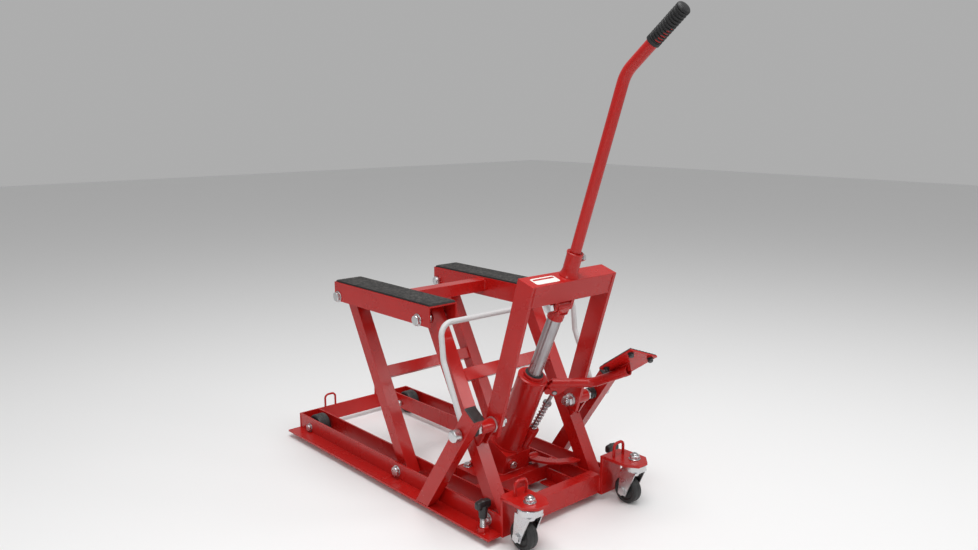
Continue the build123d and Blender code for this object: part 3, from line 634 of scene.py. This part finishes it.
# ------------------------------------------------------------------ wheels
def wheel_profile(half, radius, bore, hub_half):
    """Half outline of a moulded wheel as (distance, radius): hub, dished web, rim and rounded tread."""
    angle = np.linspace(0, np.pi / 2, 9)
    edge = 0.0045
    hub = [(-hub_half, bore + 0.0005), (-hub_half, 0.0085), (-hub_half + 0.0008, 0.0093)]
    web = [(-half + 0.0030, 0.0100), (-half + 0.0034, 0.0112), (-half + 0.0034, radius * 0.66)]
    rim = [(-half + 0.0006, radius * 0.72), (-half, radius * 0.75), (-half, radius - edge)]
    rounded = [(-half + edge * (1 - math.cos(a)), radius - edge + edge * math.sin(a)) for a in angle[1:]]
    tread = [(-0.0012, radius), (-0.0006, radius - 0.0006)]
    first = hub + web + rim + rounded + tread
    return first + [(-a, r) for a, r in reversed(first)]


def moulded_wheel(centre, half, radius, bore, hub_half):
    """Wheel turned about the axle, with its bore left open as a tube of wall."""
    profile = np.array(wheel_profile(half, radius, bore, hub_half))
    inner = np.array([(hub_half, bore), (-hub_half, bore)])
    side, up = square_axes(X_AXIS)
    angle = np.linspace(0, 2 * np.pi, 72, endpoint=False)
    outline = np.concatenate([profile, inner])
    around = np.cos(angle)[None, :, None] * side + np.sin(angle)[None, :, None] * up
    circle = outline[:, 1, None, None] * around
    rings = np.asarray(centre) + outline[:, :1, None] * X_AXIS + circle
    return skin(rings, closed_path=True)


for name in SIDES:
    hub = middle(f"rear_wheel_{name}")
    make(f"rear_wheel_{name}_moulded", moulded_wheel(hub, 0.015, 0.0275, 0.00505, 0.022),
         wheel_plastic, f"rear_wheel_{name}", [f"rear_wheel_{name}"])
    hub = middle(f"caster_wheel_{name}")
    make(f"caster_wheel_{name}_moulded", moulded_wheel(hub, 0.011, 0.0275, 0.00505, 0.0135),
         wheel_plastic, f"caster_wheel_{name}", [f"caster_wheel_{name}"])

# ------------------------------------------------------------------ floor locks
for name in SIDES:
    low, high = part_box(f"floor_lock_screw_{name}")
    foot = np.array([(low[0] + high[0]) / 2, (low[1] + high[1]) / 2, low[2]])
    body = f"floor_lock_{name}"
    make(f"floor_lock_thread_{name}", thread(foot, Z_AXIS, high[2] - low[2], 0.006), zinc, body,
         [f"floor_lock_screw_{name}"])
    low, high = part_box(f"floor_lock_knob_{name}")
    seat = np.array([foot[0], foot[1], low[2]])
    hub = lathe(seat, Z_AXIS, [(0, 0.0071), (0.0007, 0.0078), (0.0030, 0.0080), (0.0100, 0.0084),
                               (0.0180, 0.0094), (0.0240, 0.0088)])
    bar = rounded_bar(seat + 0.0257 * Z_AXIS, (0.0336, 0.0150, 0.0176), power=4.0, waist=0.14)
    crown = lathe(seat + 0.0298 * Z_AXIS, Z_AXIS, [(0, 0.0066), (0.0042, 0.0064), (0.0050, 0.0054),
                                                   (0.0050, 0.002)])
    make(f"floor_lock_knob_{name}_moulded", join(hub, bar, crown), black_plastic, body,
         [f"floor_lock_knob_{name}"])

# ------------------------------------------------------------------ pump spring
PUMP_FOOT = from_pivot(29.0, -211.2, 136.2)
PUMP_LINK = from_pivot(40.0, -262.5, 231.0)
plunge = unit(PUMP_LINK - PUMP_FOOT)
mouth = PUMP_FOOT + 0.006 * plunge
seat = PUMP_LINK - 0.036 * plunge


def coil(start, end, radius, wire, turns, grounded=0.8):
    """Compression spring: angle grows steadily, rise is slow over the grounded turns at both ends."""
    t = np.linspace(0, 1, 900)
    angle = 2 * np.pi * turns * t
    rate = np.clip(np.minimum(t, 1 - t) * turns / grounded, 0.28, 1.0)
    rise = np.cumsum(rate)
    rise = (rise - rise[0]) / (rise[-1] - rise[0])
    length = np.linalg.norm(end - start) - 2 * wire
    side, up = square_axes(end - start)
    path = start + unit(end - start) * (wire + length * rise)[:, None]
    path = path + radius * (np.cos(angle)[:, None] * side + np.sin(angle)[:, None] * up)
    return follow(path, circle_section(wire, 12))


spring = make("return_spring_coil", coil(mouth, seat, 0.0063, 0.00105, 8.5), chrome, "frame",
              ["return_spring"], smooth=60.0)
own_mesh(spring)

# ------------------------------------------------------------------ rubber
for name in SIDES:
    low, high = (np.array(corner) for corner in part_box(f"saddle_pad_{name}"))
    centre = np.array([(low[0] + high[0]) / 2, (low[1] + high[1]) / 2, low[2]])
    size = (high[1] - low[1], high[0] - low[0], high[2] - low[2])
    slab = ribbed_slab(centre, Y_AXIS, -X_AXIS, size, 0.0052, 0.0011, across=True)
    make(f"saddle_pad_{name}_ribbed", slab, pad_rubber, "platform", [f"saddle_pad_{name}"])

TREAD_CENTRE = from_pivot(110.0, -389.6, 305.0)
tread_normal = unit((0.40, 0.53, 0.75))
lengthwise = np.array([0.0, -76.0, 54.0])
tread_long = unit(lengthwise - tread_normal * lengthwise.dot(tread_normal))
tread_wide = np.cross(tread_normal, tread_long)
tread_slab = ribbed_slab(TREAD_CENTRE, tread_long, tread_wide, (0.092, 0.065, 0.006), 0.0078, 0.0032,
                         across=True)
make("tread_rubber", tread_slab, pad_rubber, "lever", ["tread_pad"])

HANDLE_END = from_pivot(0, -568.3, 936.9)
grip_axis = unit(HANDLE_END - from_pivot(0, -453.8, 841.2))
grip_tip = HANDLE_END + 0.0028 * grip_axis
grip_length = 0.0796
travel = np.linspace(0, grip_length, 360)
ribs = 0.0118 + 0.0010 * np.clip(np.sin(travel / 0.0058 * 2 * np.pi) * 3, -1, 1) * (travel > 0.007)
ribs = np.where(travel < 0.006, 0.0128, ribs)
dome = grip_length - travel
ribs = np.where(dome < 0.006, 0.0129 * np.sqrt(np.clip(1 - (1 - dome / 0.006) ** 2, 0.03, 1)) ** 0.6, ribs)
grip = lathe(grip_tip - grip_length * grip_axis, grip_axis, np.stack([travel, ribs], axis=1))
make("handle_grip_ribbed", grip, grip_rubber, "yoke", ["handle_grip"], smooth=40.0)

# ------------------------------------------------------------------ plain sticker on the yoke beam
label_paper = finish_material("label print", (0.82, 0.80, 0.76), (0.74, 0.72, 0.68), (0.4, 0.38, 0.36),
                              gloss=(0.3, 0.42), wear=0.3, dust=0.03, cloud=60.0, variation=0.4,
                              relief=(300.0, 1500.0, 0.4, 0.05))
YOKE_LEAN = math.radians(17.0)
yoke_up = np.array([0.0, -math.sin(YOKE_LEAN), math.cos(YOKE_LEAN)])
yoke_back = np.array([0.0, math.cos(YOKE_LEAN), math.sin(YOKE_LEAN)])


def on_yoke(x, along, out):
    """Point on the yoke: across, along the legs from the lock pin, and behind its plane."""
    return from_pivot(x, *LOCK_PIN) + (along * yoke_up + out * yoke_back) / 1000


def label_sheet(centre, half_long, half_wide, corner):
    """Thin sheet whose outline is the super-ellipse |x/a|^8 + |y/b|^8 = 1."""
    angle = np.linspace(0, 2 * np.pi, 96, endpoint=False)
    flat = np.stack([half_long * np.sign(np.cos(angle)) * np.abs(np.cos(angle)) ** corner,
                     half_wide * np.sign(np.sin(angle)) * np.abs(np.sin(angle)) ** corner], axis=1)
    ring = centre + flat[:, :1] * X_AXIS + flat[:, 1:] * yoke_back
    return skin(np.stack([ring, ring + 0.00018 * yoke_up]))


sticker = label_sheet(on_yoke(-64, 298.0, 0.0), 0.030, 0.0115, 0.25)
make("beam_sticker", sticker, label_paper, "yoke")
band = label_sheet(on_yoke(-64, 298.18, 5.0), 0.026, 0.0026, 0.25)
make("beam_sticker_band", band, enamel, "yoke")

# Flared weld at the foot of the handle socket, and the rolled rings round the cylinder's mouth.
HANDLE_LEAN = math.radians(18.5)
handle_up = np.array([0.0, -math.sin(HANDLE_LEAN), math.cos(HANDLE_LEAN)])
flare = [(0.0, 0.0188), (0.0010, 0.0190), (0.0030, 0.0178), (0.0070, 0.0160), (0.0120, 0.0152)]
socket_foot = on_yoke(0, 298.0, 2.0)
make("socket_flare", lathe(socket_foot, handle_up, flare), enamel, "yoke")
lip = [(0, 0.0150), (0.0006, 0.0158), (0.0034, 0.0158), (0.0040, 0.0150), (0.0040, 0.0107)]
make("socket_lip", lathe(socket_foot + 0.044 * handle_up, handle_up, lip), enamel, "yoke")

RAM_LEAN = math.radians(24.0)
ram_down = np.array([0.0, math.sin(RAM_LEAN), -math.cos(RAM_LEAN)])
CLEVIS = (-312.0, 420.0)


def on_ram(drop):
    """Point on the ram's line, down from the clevis pin."""
    return from_pivot(0, *CLEVIS) + drop / 1000 * ram_down


mouth_ring = lathe(on_ram(175.2), -ram_down, [
    (0, 0.0300), (0.0008, 0.0308), (0.0040, 0.0308), (0.0052, 0.0296), (0.0060, 0.0275)])
foot_ring = lathe(on_ram(343.8), -ram_down, [
    (0, 0.0300), (0.0003, 0.0324), (0.0018, 0.0324), (0.0024, 0.0300)])
make("cylinder_rings", join(mouth_ring, foot_ring), enamel, "frame")
wiper = lathe(on_ram(162.4), -ram_down, [(0, 0.0184), (0.0002, 0.0188), (0.0008, 0.0184), (0.0011, 0.0160),
                                         (0.0011, 0.01415)])
make("rod_wiper", wiper, black_plastic, "frame")

# Bolts through the bed into the power unit, and the filler plug.
bed_bolts = []
for side in SIDES.values():
    for y in (-180.0, -100.0):
        seat = from_pivot(side * 50, y, 44.2)
        bed_bolts.append(washer(seat, Z_AXIS, 0.0016, 0.0095))
        bed_bolts.append(hexagon_head(seat + 0.0016 * Z_AXIS, Z_AXIS, 0.0055, 0.0070))
make("bed_bolts", join(*bed_bolts), zinc, "frame")

# Cast flange round the foot of the power unit, and the valve plug in its front face.
flange = rounded_bar(from_pivot(0, -142, 47.5), (0.084, 0.104, 0.0096), power=9.0)
valve_seat = from_pivot(-15, -196.0, 70.0)
valve = lathe(valve_seat, -Y_AXIS, [(0, 0.0120), (0.0040, 0.0116), (0.0052, 0.0105), (0.0053, 0.002)])
make("cast_flange", join(flange, valve), enamel, "frame")
plug = hexagon_head(valve_seat - 0.0052 * Y_AXIS, -Y_AXIS, 0.0060, 0.0070)
make("valve_plug", plug, zinc, "frame")
plug_side = np.array([0.0, math.cos(RAM_LEAN), math.sin(RAM_LEAN)])
plug_seat = on_ram(230.0) + 0.0298 * plug_side
filler = lathe(plug_seat, plug_side, [(0, 0.0085), (0.0005, 0.0090), (0.0022, 0.0090), (0.0026, 0.0070),
                                      (0.0050, 0.0066), (0.0056, 0.0058)])
make("filler_plug", join(filler), black_plastic, "frame")

# Nuts under the tread plate.
tread_nuts = []
for along in (-36.0, 36.0):
    for wide in (-24.0, 24.0):
        seat = TREAD_CENTRE + (along * tread_long + wide * tread_wide - 3.1 * tread_normal) / 1000
        tread_nuts.append(washer(seat, -tread_normal, 0.0014, 0.0062))
        tread_nuts.append(hexagon_head(seat - 0.0014 * tread_normal, -tread_normal, 0.0062, 0.0048))
make("tread_nuts", join(*tread_nuts), black_plastic, "lever")

# ------------------------------------------------------------------ welds
ARM_RUN, ARM_RISE = 191.8, 346.7
arm_along = unit((0.0, ARM_RUN, ARM_RISE))
arm_ahead = np.array([0.0, -arm_along[2], arm_along[1]])


def on_arm(x, pivot_y, along, ahead):
    """Point on an arm: across the jack, along from the lower pivot, and ahead of its centre."""
    return from_pivot(x, pivot_y, 33.0) + (along * arm_along + ahead * arm_ahead) / 1000


def seam(store, start, end, radius=0.0021):
    """One straight bead of weld, kept with the others of its body."""
    store.append(weld_bead([start, end], radius))


ARM_INNER_FACE = 114.2
SADDLE_INNER_FACE = 103.8
INNER_WALL = 106.6
LEG_INNER_FACE = 104.0
ARM_BARS = (("front", -288.4, 268, 3), ("rear", 0.0, 209, 0))
CROSS_TUBE_FACES = ((-329.0, 18.0, 50.0), (-303.0, 18.0, 50.0), (-217.0, 23.0, 49.6), (-192.0, 23.0, 49.6))
arm_welds = {"front": [], "rear": []}
platform_welds, frame_welds, yoke_welds = [], [], []
for side in SIDES.values():
    for pair, pivot_y, along, ahead in ARM_BARS:
        x = side * ARM_INNER_FACE
        for step in (-12.5, 12.5):
            seam(arm_welds[pair], on_arm(x, pivot_y, along + step, ahead - 10),
                 on_arm(x, pivot_y, along + step, ahead + 10))
        seam(arm_welds[pair], on_arm(x, pivot_y, along - 12, ahead + 11),
             on_arm(x, pivot_y, along + 12, ahead + 11))
    x = side * SADDLE_INNER_FACE
    for y in (20.0, 50.0):
        seam(platform_welds, from_pivot(x, y, 382), from_pivot(x, y, 406))
    seam(platform_welds, from_pivot(x, 21, 407), from_pivot(x, 49, 407))
    x = side * INNER_WALL
    for y, low, high in CROSS_TUBE_FACES:
        seam(frame_welds, from_pivot(x, y, low), from_pivot(x, y, high), 0.0020)
    seam(frame_welds, from_pivot(x, -215, 50.6), from_pivot(x, -194, 50.6), 0.0020)
    seam(frame_welds, from_pivot(side * 118, -334.6, 89.6), from_pivot(side * 160, -334.6, 89.6), 0.0022)
    seam(frame_welds, from_pivot(side * 161, 404.6, 15), from_pivot(side * 161, 404.6, 50), 0.0018)
    seam(frame_welds, from_pivot(side * 161.2, -328.6, 18), from_pivot(side * 161.2, -328.6, 50), 0.0018)
    for y in (-288, -308):
        seam(frame_welds, from_pivot(side * 180 - 9, y, 17.2), from_pivot(side * 180 + 9, y, 17.2), 0.0018)
    x = side * LEG_INNER_FACE
    for out in (-18.5, 21.5):
        seam(yoke_welds, on_yoke(x, 258, out), on_yoke(x, 296, out), 0.0020)
    seam(yoke_welds, on_yoke(x, 256, -17), on_yoke(x, 256, 20), 0.0022)
    for out in (-14.0 / 3, 8.0):
        seam(yoke_welds, on_yoke(side * 15.8, 256, out), on_yoke(side * 15.8, 256, out + 8), 0.0018)
make("yoke_welds", join(*yoke_welds), enamel, "yoke")
make("front_arm_welds", join(*arm_welds["front"]), enamel, "front_arms")
make("rear_arm_welds", join(*arm_welds["rear"]), enamel, "rear_arms")
make("saddle_bar_welds", join(*platform_welds), enamel, "platform")
make("frame_welds", join(*frame_welds), enamel, "frame")

# ------------------------------------------------------------------ stage
def stage_material(name, colour, rough):
    """Plain matt paint for the floor."""
    material = bpy.data.materials.new(name)
    material.use_nodes = True
    shader = material.node_tree.nodes["Principled BSDF"]
    shader.inputs["Base Color"].default_value = (*colour, 1)
    shader.inputs["Roughness"].default_value = rough
    return material


floor_mesh = bpy.data.meshes.new("floor")
reach = 9.0
floor_mesh.from_pydata([(-reach, -reach, 0), (reach, -reach, 0), (reach, reach, 0), (-reach, reach, 0)], [],
                       [(0, 1, 2, 3)])
floor_mesh.materials.append(stage_material("pale floor", (0.86, 0.86, 0.86), 0.75))
floor = bpy.data.objects.new("floor", floor_mesh)
bpy.context.scene.collection.objects.link(floor)

world = bpy.data.worlds.new("studio")
bpy.context.scene.world = world
world.use_nodes = True
world.node_tree.nodes["Background"].inputs["Color"].default_value = (1, 1, 1, 1)
world.node_tree.nodes["Background"].inputs["Strength"].default_value = 0.42
bpy.context.scene.view_settings.view_transform = "Standard"


def area_light(name, place, target, power, size):
    """Soft box aimed at a point."""
    light = bpy.data.lights.new(name, "AREA")
    light.shape = "RECTANGLE"
    light.size = size
    light.size_y = size
    light.energy = power
    item = bpy.data.objects.new(name, light)
    item.location = place
    aim = unit(np.asarray(target) - np.asarray(place))
    pitch = math.asin(aim[2])
    heading = math.atan2(aim[1], aim[0])
    item.rotation_euler = (math.pi / 2 + pitch, 0, heading - math.pi / 2)
    bpy.context.scene.collection.objects.link(item)


area_light("overhead", (-0.3, -0.5, 2.6), (0, 0, 0.2), 48, 1.6)
area_light("front left", (-2.4, -1.6, 1.9), (0, 0, 0.3), 14, 0.8)
area_light("right", (1.8, -2.2, 1.6), (0, 0, 0.3), 10, 0.8)

camera = bpy.data.cameras.new("camera")
camera.sensor_width = 36.0
camera.lens = 31.55
view = bpy.data.objects.new("camera", camera)
view.location = (-1.1422, -1.4023 + CENTRE_SHIFT, 0.7754)
view.rotation_euler = (math.radians(90 - 10.72), 0, math.radians(48.5 - 90))
bpy.context.scene.collection.objects.link(view)
bpy.context.scene.camera = view
